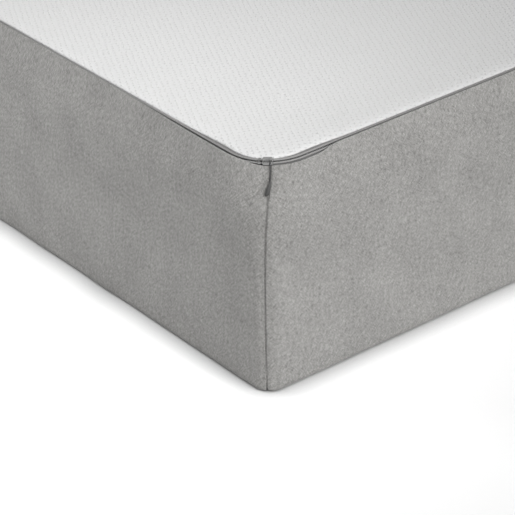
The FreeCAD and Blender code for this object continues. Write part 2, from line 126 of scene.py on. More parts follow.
def side_grid(side, stations, inset, radius, level, to_seam=False):
    """Points on one side, for columns of insets, corner radii and levels.

    To the seam, the columns at the near corner follow the seam there, which strays from
    the corner's diagonal.
    """
    facing, going, apart, run = SIDES[side]
    inset, radius, level = (np.asarray(x, float).reshape(-1, 1) for x in (inset, radius, level))
    turn = stations.turn + 0 * level
    if to_seam and side in ("front", "right"):
        nearer = np.maximum(turn, 0) if side == "front" else np.minimum(turn, 0)
        turn = turn + np.abs(nearer) / EIGHTH * seam_stray(level)
    out = apart - inset - radius + radius * np.cos(turn)
    aside = stations.along * (run - inset - radius) + radius * np.sin(turn)
    points = np.empty(out.shape + (3,))
    points[..., 0] = facing[0] * out + going[0] * aside
    points[..., 1] = facing[1] * out + going[1] * aside
    points[..., 2] = level
    return points


def ring_grid(stations, inset, radius, level):
    """Points all the way round, for columns of insets, corner radii and levels."""
    runs = [side_grid(side, stations[side], inset, radius, level)[:, :-1] for side in SIDES]
    return np.concatenate(runs, axis=1)


def grid_normals(points, ring=False):
    """Unit normals of a grid whose rows go up and whose columns go anticlockwise."""
    if ring:
        along = np.roll(points, -1, axis=1) - np.roll(points, 1, axis=1)
    else:
        along = np.gradient(points, axis=1)
    up = np.gradient(points, axis=0)
    normals = np.cross(along, up)
    return normals / np.maximum(np.linalg.norm(normals, axis=2, keepdims=True), 1e-12)


def distances(points, axis):
    """Distances along a grid's rows or columns, from their first point."""
    steps = np.linalg.norm(np.diff(points, axis=axis), axis=2)
    first = np.zeros_like(np.take(steps, [0], axis=axis))
    return np.cumsum(np.concatenate([first, steps], axis=axis), axis=axis)


def smooth_profile(corners, counts):
    """A smooth run through (inset, level, radius) corners, cut into counts of even steps.

    Each count is a pair: the level that a stretch goes up to, and its number of steps.
    """
    line = np.array(corners, float)
    for _ in range(3):
        start, end = line[:-1], line[1:]
        cut = np.empty((2 * len(start), 3))
        cut[0::2] = 0.75 * start + 0.25 * end
        cut[1::2] = 0.25 * start + 0.75 * end
        line = np.concatenate([line[:1], cut, line[-1:]])
    run = np.concatenate([[0], np.cumsum(np.linalg.norm(np.diff(line[:, :2], axis=0), axis=1))])
    marks = [0.0]
    for level, steps in counts:
        stop = np.interp(level, line[:, 1], run)
        marks.extend(np.linspace(marks[-1], stop, steps + 1)[1:])
    return np.array([np.interp(marks, run, line[:, k]) for k in range(3)])


def waves(seed, count, shortest, longest):
    """A function of two lengths that gives smooth random waves of about unit height."""
    random = np.random.default_rng(seed)
    lengths = shortest * (longest / shortest) ** random.random(count)
    headings = random.random(count) * 2 * math.pi
    phases = random.random(count) * 2 * math.pi
    heights = (lengths / longest) ** 0.5
    heights /= math.sqrt((heights ** 2).sum() / 2)

    def height(a, b):
        total = 0.0
        for length, heading, phase, size in zip(lengths, headings, phases, heights):
            turns = (a * math.cos(heading) + b * math.sin(heading)) / length
            total = total + size * np.sin(2 * math.pi * turns + phase)
        return total

    return height


# ---------------------------------------------------------------- meshes

def add_mesh(name, points, faces, uv=None, merge=False):
    """A smooth-shaded object. Merging joins points that meet and drops faces with no area."""
    mesh = bpy.data.meshes.new(name)
    mesh.from_pydata(np.asarray(points).reshape(-1, 3).tolist(), [], faces)
    if uv is not None:
        layer = mesh.uv_layers.new(name="Cloth")
        corner_points = np.empty(len(mesh.loops), np.int64)
        mesh.loops.foreach_get("vertex_index", corner_points)
        layer.data.foreach_set("uv", np.asarray(uv, np.float32).reshape(-1, 2)[corner_points].ravel())
    if merge:
        work = bmesh.new()
        work.from_mesh(mesh)
        bmesh.ops.remove_doubles(work, verts=work.verts, dist=1e-6)
        bmesh.ops.dissolve_degenerate(work, edges=work.edges, dist=1e-7)
        work.to_mesh(mesh)
        work.free()
    mesh.shade_smooth()
    thing = bpy.data.objects.new(name, mesh)
    bpy.context.scene.collection.objects.link(thing)
    return thing


def swept(name, grid, ring=False, ladder=False, plate=False, uv=None):
    """A closed mesh whose rows go round a closed section and whose columns run along it.

    Without a ring, its two ends are closed: by a ladder of faces between the two halves of
    the section, as on a sheet, or else by one face. A plate's section starts and ends in
    the plate's middle, where each face's columns meet and are merged.
    """
    rows, columns = grid.shape[:2]
    row, column = np.meshgrid(np.arange(rows - 1 if plate else rows),
                              np.arange(columns if ring else columns - 1), indexing="ij")
    next_row, next_column = (row + 1) % rows, (column + 1) % columns
    quads = np.stack([row * columns + column, row * columns + next_column,
                      next_row * columns + next_column, next_row * columns + column], axis=-1)
    faces = quads.reshape(-1, 4).tolist()
    if not ring:
        for column, turned in ((0, False), (columns - 1, True)):
            loop = [row * columns + column for row in range(rows)]
            if ladder:
                ends = [[loop[k], loop[k + 1], loop[rows - 2 - k], loop[rows - 1 - k]]
                        for k in range(rows // 2 - 1)]
            else:
                ends = [loop]
            faces += [end[::-1] if turned else end for end in ends]
    return add_mesh(name, grid, faces, uv, merge=plate)


def sheet_from(name, outer, thickness, ring=False, uv=None):
    """A sheet of an even thickness behind a grid of its outer face."""
    inner = outer - thickness * grid_normals(outer, ring)
    both = np.concatenate([outer, inner[::-1]])
    if uv is not None:
        uv = np.concatenate([uv, uv[::-1]])
    return swept(name, both, ring, ladder=True, uv=uv)


def cloth_uv(points, ring=False):
    """Lengths along and up a grid, in metres, measured from its middle column."""
    along = distances(points, 1)
    along = along - along[:, [along.shape[1] // 2]]
    return np.stack([along, distances(points, 0)], axis=-1)


def plan_uv(points):
    """A grid's own plan as lengths on its cloth, in metres."""
    return points[..., :2].copy()


def place_piece(piece, body, material, nodes):
    """Give a piece its material, and say what it rides on and which CAD nodes it replaces."""
    piece.data.materials.append(material)
    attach(piece, body)
    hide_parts(*nodes)


# ---------------------------------------------------------------- materials

class Surface:
    """A material made of nodes: helpers to make one node each and join it to others."""

    def __init__(self, name, colour, roughness, **shader_values):
        self.material = bpy.data.materials.new(name)
        self.material.use_nodes = True
        self.material.diffuse_color = (*colour, 1)
        self.tree = self.material.node_tree
        self.shader = self.tree.nodes["Principled BSDF"]
        self.shader.inputs["Base Color"].default_value = (*colour, 1)
        self.shader.inputs["Roughness"].default_value = roughness
        self.colour = colour
        for key, value in shader_values.items():
            socket = key.replace("_", " ").title().replace("Ior", "IOR")
            self.shader.inputs[socket].default_value = value

    def node(self, kind, result=0, settings=(), **inputs):
        """Make a node and return one of its results. Inputs are named, or numbered as i0, i1."""
        made = self.tree.nodes.new(kind)
        for key, value in dict(settings).items():
            setattr(made, key, value)
        for key, value in inputs.items():
            place = int(key[1:]) if key[1:].isdigit() else key.replace("_", " ").title()
            socket = made.inputs[place]
            if isinstance(value, bpy.types.NodeSocket):
                self.tree.links.new(value, socket)
            else:
                socket.default_value = value
        return made.outputs[result]

    def cloth(self, across, up):
        """The cloth's own coordinates, multiplied so that one unit is one thread or one streak."""
        place = self.node("ShaderNodeUVMap", settings={"uv_map": "Cloth"})
        return self.node("ShaderNodeMapping", i0=place, Scale=(1 / across, 1 / up, 1))

    def slanted(self, width, length, turn):
        """The cloth's coordinates turned, in units of one streak's width and length."""
        place = self.node("ShaderNodeUVMap", settings={"uv_map": "Cloth"})
        return self.node("ShaderNodeMapping", i0=place, Scale=(width, length, 1), Rotation=(0, 0, turn),
                         settings={"vector_type": "TEXTURE"})

    def solid(self, size, turn=0.0):
        """Coordinates in the piece itself, in units of a size."""
        place = self.node("ShaderNodeTexCoord", result=3)
        return self.node("ShaderNodeMapping", i0=place, Scale=(1 / size,) * 3,
                         Rotation=(0, 0, turn))

    def noise(self, place, detail=2.0, roughness=0.5):
        return self.node("ShaderNodeTexNoise", i0=place, Scale=1.0, Detail=detail, Roughness=roughness)

    def bands(self, place, direction):
        """Smooth bands one unit apart, from 0 to 1."""
        return self.node("ShaderNodeTexWave", result=1, i0=place, Scale=math.pi / 10,
                         settings={"bands_direction": direction})

    def dots(self, place, randomness=0.0):
        """Distance from the nearest of a set of points one unit apart."""
        return self.node("ShaderNodeTexVoronoi", i0=place, Scale=1.0, Randomness=randomness,
                         settings={"voronoi_dimensions": "2D"})

    def spread(self, value, low, high, to_low=0.0, to_high=1.0):
        """A value's range from low to high stretched to another range."""
        return self.node("ShaderNodeMapRange", i0=value, i1=low, i2=high, i3=to_low, i4=to_high)

    def sums(self, *terms):
        """The sum of some values, each with its weight."""
        total = None
        for value, weight in terms:
            if total is None:
                total = self.node("ShaderNodeMath", settings={"operation": "MULTIPLY"}, i0=value, i1=weight)
            else:
                total = self.node("ShaderNodeMath", settings={"operation": "MULTIPLY_ADD"},
                                  i0=value, i1=weight, i2=total)
        return total

    def times(self, first, second):
        return self.node("ShaderNodeMath", settings={"operation": "MULTIPLY"}, i0=first, i1=second)

    def shade(self, value):
        """Colour the surface by a value: the material's own colour times that value."""
        grey = self.node("ShaderNodeCombineColor", i0=value, i1=value, i2=value)
        self.colour_from(self.node("ShaderNodeMix", result=2, i0=1.0, i6=(*self.colour, 1), i7=grey,
                                   settings={"data_type": "RGBA", "blend_type": "MULTIPLY"}))

    def colour_from(self, colour):
        self.tree.links.new(colour, self.shader.inputs["Base Color"])

    def roughness_from(self, value):
        self.tree.links.new(value, self.shader.inputs["Roughness"])

    def bump(self, height, depth):
        """Raise the surface by a height from 0 to 1 that stands for a depth in metres."""
        raised = self.node("ShaderNodeBump", i0=1.0, i1=depth, Height=height)
        self.tree.links.new(raised, self.shader.inputs["Normal"])


def woven_heights(surface, warp, weft):
    """A plain weave: threads that pass over and under each other."""
    place = surface.cloth(warp, weft)
    upright = surface.bands(place, "X")
    level = surface.bands(place, "Y")
    check = surface.node("ShaderNodeTexChecker", result=1, i0=place, Scale=1.0)
    over = surface.times(upright, check)
    under = surface.times(level, surface.spread(check, 0.0, 1.0, 1.0, 0.0))
    return surface.sums((over, 1.0), (under, 1.0))


def border_fabric():
    """Brushed grey melange: short crossing hairs, a soft nap, faint slubs and pale flecks."""
    surface = Surface("brushed melange fabric", (0.266, 0.262, 0.253), 0.85,
                      sheen_weight=0.18, sheen_roughness=0.45, specular_ior_level=0.25)
    weave = woven_heights(surface, 0.0011, 0.0009)
    rising = surface.noise(surface.slanted(0.0016, 0.0060, -0.72), detail=2.0)
    falling = surface.noise(surface.slanted(0.0012, 0.0052, 0.72), detail=2.0)
    slub = surface.noise(surface.cloth(0.0030, 0.025), detail=2.0)
    nap = surface.noise(surface.cloth(0.045, 0.060), detail=4.0, roughness=0.6)
    fibre = surface.noise(surface.solid(0.0011), detail=2.0)
    fleck_spot = surface.spread(surface.dots(surface.cloth(0.0042, 0.0042), 1.0), 0.10, 0.18, 1.0, 0.0)
    fleck_patch = surface.noise(surface.cloth(0.07, 0.07), detail=1.0)
    fleck = surface.times(fleck_spot, surface.spread(fleck_patch, 0.54, 0.64))
    tone = surface.sums((rising, 0.50), (falling, 0.50), (fibre, 0.40), (nap, 0.22), (slub, 0.12))
    value = surface.sums((tone, 1.0), (fleck, 0.10), (weave, 0.08))
    surface.shade(surface.spread(value, 0.475, 1.355, 0.1, 1.9))
    surface.bump(surface.sums((weave, 0.3), (rising, 0.3), (falling, 0.3), (fibre, 0.1)), 0.0006)
    return surface.material


def knit_fabric():
    """White stretch knit with rows of small hollows that run aslant, painted darker in them as painted
    shade.
    """
    surface = Surface("white dimpled knit", (0.57, 0.57, 0.568), 0.8,
                      sheen_weight=0.12, sheen_roughness=0.4, specular_ior_level=0.25)
    shaded_dimple = surface.spread(surface.dots(surface.solid(0.0058, 0.45), 0.30), 0.10, 0.26)
    between = surface.spread(surface.dots(surface.solid(0.0029, 0.45), 0.30), 0.05, 0.40)
    patch = surface.noise(surface.solid(0.0035), detail=3.0)
    broad = surface.noise(surface.solid(0.12), detail=2.0)
    # The dimples and the smaller hollows between them darken the colour: painted shade in the hollows.
    # Patch and broad are random tone.
    value = surface.sums((shaded_dimple, 0.075), (between, 0.025), (patch, 0.06), (broad, 0.03))
    surface.shade(surface.spread(value, 0.0, 0.19, 0.89, 1.08))
    surface.bump(surface.sums((shaded_dimple, 0.7), (between, 0.2), (patch, 0.1)), 0.0008)
    return surface.material


def plain_cloth(name, colour, warp, weft, contrast=0.2, depth=0.0004, sheen=0.05):
    """A plain woven or bonded cloth with uneven threads."""
    surface = Surface(name, colour, 0.82, sheen_weight=sheen, specular_ior_level=0.25)
    weave = woven_heights(surface, warp, weft)
    warp_tone = surface.noise(surface.cloth(warp, 10 * warp), detail=2.0)
    weft_tone = surface.noise(surface.cloth(10 * weft, weft), detail=2.0)
    broad = surface.noise(surface.solid(0.05), detail=3.0)
    value = surface.sums((weave, 0.2), (warp_tone, 0.3), (weft_tone, 0.3), (broad, 0.4))
    surface.shade(surface.spread(value, 0.2, 1.0, 1 - contrast, 1 + contrast))
    surface.bump(weave, depth)
    return surface.material


def foam(name, colour, cell, depth):
    """Open-celled foam: rounded cells of mixed sizes and a few larger pores, painted darker in their
    hollows as painted shade.
    """
    surface = Surface(name, colour, 0.9, specular_ior_level=0.2)
    cells = surface.node("ShaderNodeTexVoronoi", i0=surface.solid(cell), Scale=1.0)
    pores = surface.node("ShaderNodeTexVoronoi", i0=surface.solid(cell * 4), Scale=1.0)
    pore = surface.spread(pores, 0.10, 0.25)
    broad = surface.noise(surface.solid(0.09), detail=3.0)
    # The hollows of the cells and pores darken the colour as painted shade. The broad noise is random tone.
    value = surface.sums((cells, 0.25), (pore, 0.2), (broad, 0.35))
    surface.shade(surface.spread(value, 0.15, 0.65, 0.86, 1.08))
    surface.bump(surface.sums((cells, 0.5), (pore, 0.5)), depth)
    return surface.material


def fibre_wadding(name, colour):
    """Soft fibre wadding: tangled strands with thick and thin places."""
    surface = Surface(name, colour, 0.95, sheen_weight=0.2, specular_ior_level=0.1)
    strand = surface.noise(surface.solid(0.0025), detail=5.0, roughness=0.7)
    clump = surface.noise(surface.solid(0.018), detail=4.0, roughness=0.6)
    value = surface.sums((strand, 0.5), (clump, 0.5))
    surface.shade(surface.spread(value, 0.3, 0.7, 0.88, 1.06))
    surface.bump(value, 0.0025)
    return surface.material


def moulded(name, colour, roughness, grain=0.0006, metallic=0.0, edge_lightening=0.15):
    """Moulded plastic or painted metal with fine grain, and lighter on its sharp edges."""
    surface = Surface(name, colour, roughness, metallic=metallic, specular_ior_level=0.3)
    fine = surface.noise(surface.solid(grain), detail=3.0)
    broad = surface.noise(surface.solid(grain * 8), detail=2.0)
    edge = surface.node("ShaderNodeNewGeometry", result=7)
    # Sharp, convex edges are made lighter according to how pointed the surface is there.
    value = surface.sums((fine, 0.4), (broad, 0.4), (surface.spread(edge, 0.48, 0.56), edge_lightening))
    surface.shade(surface.spread(value, 0.2, 0.8, 0.85, 1.15))
    surface.roughness_from(surface.spread(fine, 0.3, 0.7, roughness - 0.06, roughness + 0.08))
    surface.bump(fine, grain * 0.15)
    return surface.material


border_cloth = border_fabric()
knit_cloth = knit_fabric()
base_cloth = plain_cloth("base fabric", (0.16, 0.16, 0.162), 0.0016, 0.0014, 0.25)
seam_binding = plain_cloth("seam binding", (0.20, 0.20, 0.20), 0.0008, 0.0008)
backing_cloth = plain_cloth("backing cloth", (0.72, 0.72, 0.71), 0.0010, 0.0010, 0.08)
label_cloth = plain_cloth("blank label satin", (0.78, 0.78, 0.77), 0.0003, 0.0003, 0.05, 0.0001, 0.2)
tape_cloth = plain_cloth("zip tape", (0.225, 0.223, 0.220), 0.0008, 0.0006, 0.2, 0.0002)
wadding = fibre_wadding("polyester wadding", (0.76, 0.76, 0.75))
support_foam = foam("support foam", (0.66, 0.67, 0.68), 0.0016, 0.0006)
transition_foam = foam("transition foam", (0.52, 0.60, 0.66), 0.0013, 0.0005)
memory_foam = foam("memory foam", (0.82, 0.80, 0.74), 0.0010, 0.0004)
coil_plastic = moulded("zip coil", (0.225, 0.223, 0.22), 0.5)
zip_metal = moulded("lacquered zip metal", (0.13, 0.13, 0.128), 0.42, metallic=0.2, edge_lightening=0.3)
cord_cloth = moulded("braided pull cord", (0.055, 0.055, 0.055), 0.8)
tab_plastic = moulded("moulded pull tab", (0.075, 0.075, 0.074), 0.6)


# ---------------------------------------------------------------- lower cover: border

# The border's outline from the base up to the zip: inset, level, corner radius.
BORDER = [
    (0.0046, 0.0002, 0.0150),
    (0.0030, 0.0004, 0.0166),
    (0.0008, 0.0025, 0.0188),
    (0.0000, 0.0080, 0.0196),
    (0.0000, 0.1300, 0.0225),
    (0.0000, 0.1700, 0.0300),
    (0.0000, 0.1980, 0.0410),
    (0.0009, 0.2070, 0.0440),
    (0.0032, 0.2145, 0.0460),
    (0.0112, 0.2388, 0.0547),
    (0.0119, 0.2409, 0.0554),
    (0.0125, 0.2414, 0.0550),
]
border_top = BORDER[-1][1]
fabric_thickness = 0.0012
profile = smooth_profile(BORDER, [(0.003, 5), (0.012, 5), (0.190, 42), (0.235, 34), (border_top, 12)])
border_inset, border_level, border_radius = profile

# How far the border's lip stands up at the corners, how much it climbs past them and far
# from them, and where it climbs, as distances from the nearer end of a panel. The slider
# travels round the near corner on to the right side, where the lip stays low for it.
lip_at_corner = 0.0010
lip_climb = 0.0050
LIP_FAR_CLIMB = {"right": 0.0004, "back": 0.0024, "left": 0.0004, "front": 0.0024}
SLIDER_SIDE_CLIMB = (0.050, 0.078)
OTHER_SIDE_CLIMB = (0.004, 0.042)
FAR_CLIMB = (0.06, 0.25)


def ring_stations(corner_length, fine, coarse, growth, **more):
    """Stations for every side, whose straight runs stop a corner's length before its ends."""
    return {side: Stations(run - corner_length, fine, coarse, growth, **more)
            for side, (_, _, _, run) in SIDES.items()}


def smooth_step(value, low, high):
    """A smooth rise from 0 to 1 between two values."""
    share = np.clip((value - low) / (high - low), 0, 1)
    return share * share * (3 - 2 * share)


def along_panel(points):
    """Distances along a panel, from its first end and from its nearer end."""
    along = distances(points, 1)
    return along, np.minimum(along, along[:, -1:] - along)


def lip_rise(side, points):
    """How far the border's upper lip rises beside the zip, to hide part of the lower coil."""
    _, to_end = along_panel(points)
    climb = SLIDER_SIDE_CLIMB if side == "right" else OTHER_SIDE_CLIMB
    rise = lip_at_corner + lip_climb * smooth_step(to_end, *climb)
    rise = rise + LIP_FAR_CLIMB[side] * smooth_step(to_end, *FAR_CLIMB)
    return rise * smooth_step(points[..., 2], 0.2200, 0.2420)


def pleat_depth(to_end, level):
    """A short slanting pleat that runs down from the zip's pull, beside the near corner's seam."""
    start_to_end, start_level = 0.003, 0.229
    outwards, downwards = 0.66, 0.75
    along = (to_end - start_to_end) * outwards + (start_level - level) * downwards
    aside = (to_end - start_to_end) * downwards - (start_level - level) * outwards
    ends = smooth_step(along, -0.001, 0.005) * smooth_step(along, 0.024, 0.012)
    groove = np.exp(-(aside / 0.0016) ** 2) - 0.5 * np.exp(-((aside + 0.0034) / 0.0018) ** 2)
    depth = 0.0021
    return depth * ends * groove


def border_push(side, points, seed):
    """How far each point of a border panel's outer face stands out from the plain outline."""
    along, to_end = along_panel(points)
    run = along - along[:, -1:] / 2
    level = points[..., 2]
    sag = waves(seed, 9, 0.045, 0.30)(run, level * 0.5)
    crumple = waves(seed + 50, 9, 0.018, 0.05)(run * 0.7, level)
    hem = waves(seed + 100, 7, 0.05, 0.16)(run, 0 * level)
    sag_height, crumple_height, hem_height = 0.00045, 0.00010, 0.0007
    margin = 0.02
    free = np.clip(level / margin, 0, 1) * np.clip((border_top - level) / margin, 0, 1)
    push = free * (sag_height * sag + crumple_height * crumple)
    push += hem_height * hem * np.exp(-((level - 0.022) / 0.016) ** 2)
    # The panels' edges turn in to the seam between them.
    seam_depth, roll_depth, ply_height, pucker_height = 0.0044, 0.0009, 0.0004, 0.00022
    reach = 0.0006 + 0.0003 * smooth_step(level, 0.10, 0.16)
    roll = seam_depth * np.exp(-(to_end / reach) ** 2) + roll_depth * np.exp(-(to_end / 0.005) ** 2)
    if side == "front":
        # The ply on this side stands a little proud of the seam, and has a pleat near the zip.
        roll -= ply_height * np.exp(-((to_end - 0.0018) / 0.0009) ** 2)
        roll += np.where(along > to_end, pleat_depth(to_end, level), 0)
    gathers = np.sin(level / 0.0017 + 3 * np.sin(level / 0.02))
    pucker = pucker_height * gathers * np.exp(-(to_end / 0.006) ** 2)
    push += pucker * free - roll * np.clip((border_top - level) / 0.004, 0.25, 1)
    return push


side_stations = ring_stations(0.04, 0.0017, 0.0085, 0.02, seam_fine=0.00035)
for index, side in enumerate(SIDES):
    outline = side_grid(side, side_stations[side], border_inset, border_radius, border_level,
                        to_seam=True)
    outer = outline + border_push(side, outline, 11 + index)[..., None] * grid_normals(outline)
    outer[..., 2] += lip_rise(side, outline)
    cover = sheet_from(f"border_cover_{side}", outer, fabric_thickness, uv=cloth_uv(outline))
    place_piece(cover, "lower_cover", border_cloth, [f"border_panel_{side}"])


# ---------------------------------------------------------------- lower cover: inside

# The padding fills the space between the cover and the foam, as one closed section.
OUTER_PADDING = [(0.0074, 0.0030, 0.016), (0.0038, 0.0045, 0.0175), (0.0027, 0.0100, 0.0190),
                 (0.0027, 0.1970, 0.0390), (0.0037, 0.2075, 0.0420), (0.0061, 0.2150, 0.0440),
                 (0.0095, 0.2255, 0.0475), (0.0109, 0.2300, 0.0490)]
lining_inset = 0.0175
end_setback = 0.00174


def padding_section():
    """The insets, radii and levels of a padding's section, up its outer face and down its inner."""
    outer_inset, outer_level, outer_radius = smooth_profile(
        OUTER_PADDING, [(0.012, 5), (0.19, 22), (0.23, 9)])
    inner_level = np.linspace(0.2300, 0.0030, 26)
    inner_inset = 0 * inner_level + lining_inset
    inner_inset[[0, -1]] -= 0.0012
    return (np.concatenate([outer_inset, inner_inset]),
            np.concatenate([outer_radius, concentric_reach - inner_inset]),
            np.concatenate([outer_level, inner_level]))


padding_stations = ring_stations(0.04, 0.006, 0.012, 0.02)
for index, side in enumerate(SIDES):
    grid = side_grid(side, padding_stations[side], *padding_section(), to_seam=True)
    # The ends stop short of the corner seam's turned-in edges.
    ends = np.zeros(grid.shape[1])
    ends[:4] = np.linspace(1, 0, 5)[:4]
    ends[-4:] = -ends[3::-1]
    for axis, going in enumerate(SIDES[side][1]):
        grid[..., axis] += end_setback * going * ends
    lumps = waves(31 + index, 10, 0.04, 0.25)(distances(grid, 1), grid[..., 2])
    grid -= (0.00035 * (1.4 + lumps))[..., None] * grid_normals(grid)
    padding = swept(f"border_padding_{side}", grid)
    place_piece(padding, "lower_cover", wadding, [f"border_wadding_{side}"])

# At each corner the two panels' edges are stitched together and turned in, as two plies.
CORNERS = {"front_right": (1, -1), "back_right": (1, 1), "back_left": (-1, 1), "front_left": (-1, -1)}
allowance_depth = 0.0086
allowance_inset = 0.0024
ply_gap = 0.00012
ply_thickness = 0.0009


def allowance_ply(ply, levels, radius, centre, heading):
    """One ply, on the seam's side that its sign gives: up one face and down the other, inwards."""
    ahead = np.stack([np.cos(heading), np.sin(heading)], axis=-1)[:, None, :]
    aslant = np.stack([np.sin(heading), -np.cos(heading)], axis=-1)[:, None, :]
    depth = np.linspace(0, allowance_depth, 8)[None, :]
    reach = radius[:, None] - depth
    ripple = 0.0001 * np.sin(levels[:, None] / 0.006 + depth / 0.002)
    points = np.empty(reach.shape + (3,))
    points[..., :2] = centre[:, None, :]
    points[..., 2] = levels[:, None]
    points[..., :2] += ahead * reach[..., None] + aslant * (ply * ply_gap + ripple)[..., None]
    behind = points.copy()
    behind[..., :2] += aslant * ply * ply_thickness
    return np.concatenate([behind, points[::-1]] if ply > 0 else [points, behind[::-1]])


def joined(first, second):
    """Two pieces' meshes as one, which keeps the first's name."""
    work = bmesh.new()
    work.from_mesh(first.data)
    work.from_mesh(second.data)
    work.to_mesh(first.data)
    work.free()
    bpy.data.objects.remove(second)
    return first


for corner, (side_x, side_y) in CORNERS.items():
    low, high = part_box(f"corner_seam_{corner}")
    levels = np.linspace(low.z, high.z, 75)
    inset = np.interp(levels, border_level, border_inset) + allowance_inset
    radius = np.interp(levels, border_level, border_radius) - allowance_inset
    centre = np.stack([side_x * (half_width - inset - radius), side_y * (half_length - inset - radius)],
                      axis=-1)
    stray = seam_stray(levels) if corner == "front_right" else 0 * levels
    plies = []
    for ply, name in ((-1, f"corner_allowance_{corner}"), (1, f"ply_{corner}")):
        section = allowance_ply(ply, levels, radius, centre, math.atan2(side_y, side_x) + stray)
        plies.append(swept(name, section, ladder=True, uv=section[..., 1:]))
    edge = joined(*plies)
    place_piece(edge, "lower_cover", border_cloth, [f"corner_seam_{corner}"])


# ---------------------------------------------------------------- flat plates

def closed_section(points):
    """A plate's section as insets and levels, with both of its ends at the plate's middle."""
    section = np.array(points)
    section[[0, -1], 0] = half_width
    return section[:, 0], section[:, 1]


def tapering_radius(inset, edge_inset, edge_radius):
    """Corner radii that shrink evenly from a plate's edge to nothing in its middle."""
    return edge_radius * np.clip((half_width - inset) / (half_width - edge_inset), 0, 1)


def insets_inwards(edge_inset, fine, coarse, growth):
    """Insets from a plate's edge to its middle."""
    steps = graded(2 * (half_width - edge_inset), fine, coarse, growth)
    return edge_inset + steps[: len(steps) // 2 + 1]


plate_stations = ring_stations(0.05, 0.008, 0.022, 0.03)
plate_insets = insets_inwards(0.018, 0.006, 0.024, 0.05)


def flat_plate(edge_inset, edge_radius, bottom, top, easing, unevenness=0.0, seed=0):
    """A plate with eased edges and faces that can be slightly uneven."""
    inwards = [x for x in plate_insets if x > edge_inset + 1.5 * easing]
    turns = np.linspace(0, math.pi / 2, 5)
    upright = top - bottom - 2 * easing
    parts = int(upright / 0.012) + 1
    section = [(x, bottom) for x in reversed(inwards)]
    section += [(edge_inset + easing * (1 - math.sin(t)), bottom + easing * (1 - math.cos(t)))
                for t in turns]
    section += [(edge_inset, bottom + easing + upright * part / parts) for part in range(1, parts)]
    section += [(edge_inset + easing * (1 - math.cos(t)), top - easing * (1 - math.sin(t)))
                for t in turns]
    section += [(x, top) for x in inwards]
    inset, level = closed_section(section)
    grid = ring_grid(plate_stations, inset, tapering_radius(inset, edge_inset, edge_radius), level)
    if unevenness:
        bumps = waves(seed, 12, 0.05, 0.5)(grid[..., 0], grid[..., 1] + grid[..., 2])
        grid[..., 2] -= unevenness * (1.5 + bumps) * np.sign(grid[..., 2] - (bottom + top) / 2)
    return grid


base_inset = half_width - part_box("base_panel")[1].x
base_radius = 0.0147
base_bottom, base_top = 0.0002, 0.0018
grid = flat_plate(base_inset, base_radius, base_bottom, base_top, easing=0.0005)
base_cover = swept("base_cover", grid, ring=True, plate=True, uv=plan_uv(grid))
place_piece(base_cover, "lower_cover", base_cloth, ["base_panel"])

seam_ring = ring_stations(0.05, 0.004, 0.015, 0.03)
tape_insets = np.linspace(base_inset, lining_inset, 7)
tape_radii = np.interp(tape_insets, [base_inset, lining_inset], [base_radius, zip_radius])
tape_level, tape_thickness = 0.0027, 0.0006
tape_top = ring_grid(seam_ring, tape_insets, tape_radii, 0 * tape_insets + tape_level)
binding = sheet_from("base_seam_binding", tape_top, tape_thickness, ring=True,
                     uv=cloth_uv(tape_top, True))
place_piece(binding, "lower_cover", seam_binding, ["base_seam_tape"])

# ---------------------------------------------------------------- foam core

FOAMS = {"support": (support_foam, 41), "transition": (transition_foam, 42), "memory": (memory_foam, 43)}
core_radius = 0.0597
core_easing = 0.0025
core_clearance = 0.0003
for layer, (look, seed) in FOAMS.items():
    low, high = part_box(f"{layer}_foam")
    inset = half_width - high.x + core_clearance
    grid = flat_plate(inset, core_radius, low.z, high.z, core_easing, unevenness=0.00008, seed=seed)
    core = swept(f"{layer}_core", grid, ring=True, plate=True, uv=plan_uv(grid))
    place_piece(core, "foam_core", look, [f"{layer}_foam"])

# ---------------------------------------------------------------- top cover: panels

knit_edge = 0.0193
knit_thickness = 0.002
rim_width = 0.050
KNIT_LEVELS = ((knit_edge, 0.2477), (0.024, 0.2490), (0.032, 0.2497), (rim_width, 0.2500))
KNIT_LIP = ((knit_edge, 0.2458), (knit_edge - 0.0003, 0.2465), (knit_edge, 0.2473))


def knit_level(inset):
    """The level of the knit's upper face, which falls towards the zip."""
    return np.interp(inset, *zip(*KNIT_LEVELS))


def rim_drawn_in(grid, inset, reach):
    """How far the knit's rim draws in on either side of each corner, and stands out at it."""
    diagonal = 1 - math.sqrt(0.5)
    corner_x = half_width - inset - diagonal * reach
    corner_y = half_length - inset - diagonal * reach
    from_corner = np.hypot(np.abs(grid[..., 0]) - corner_x, np.abs(grid[..., 1]) - corner_y)
    drawn_in = 0.0024 * np.exp(-((from_corner - 0.052) / 0.032) ** 2)
    drawn_in -= 0.0010 * np.exp(-(from_corner / 0.015) ** 2)
    return drawn_in * smooth_step(inset, rim_width, 0.0205)


knit_stations = ring_stations(0.05, 0.0045, 0.016, 0.02)
knit_insets = insets_inwards(knit_edge, 0.0012, 0.016, 0.10)[1:]
under_insets = insets_inwards(knit_edge, 0.004, 0.03, 0.20)[1:]
section = [(x, knit_level(x) - knit_thickness) for x in reversed(under_insets)]
section += KNIT_LIP
section += [(x, knit_level(x)) for x in knit_insets]
inset, level = closed_section(section)
inner_radius = tapering_radius(inset, rim_width, concentric_reach - rim_width)
reach = np.where(inset < rim_width, concentric_reach - inset, inner_radius)
grid = ring_grid(knit_stations, inset, reach, level)
outwards = grid[len(under_insets)] - grid[np.argmin(np.abs(inset - rim_width))]
outwards[:, 2] = 0
outwards /= np.linalg.norm(outwards, axis=1, keepdims=True)
grid -= rim_drawn_in(grid, inset[:, None], reach[:, None])[..., None] * outwards
soft = waves(71, 12, 0.07, 0.6)(grid[..., 0], grid[..., 1])
fade = np.clip((inset - 0.024) / 0.03, 0, 1)[:, None]
grid[..., 2] -= 0.0002 * (1.6 + soft) * fade
knit = swept("top_cover_knit", grid, ring=True, plate=True, uv=plan_uv(grid))
place_piece(knit, "top_cover", knit_cloth, ["top_knit_panel"])

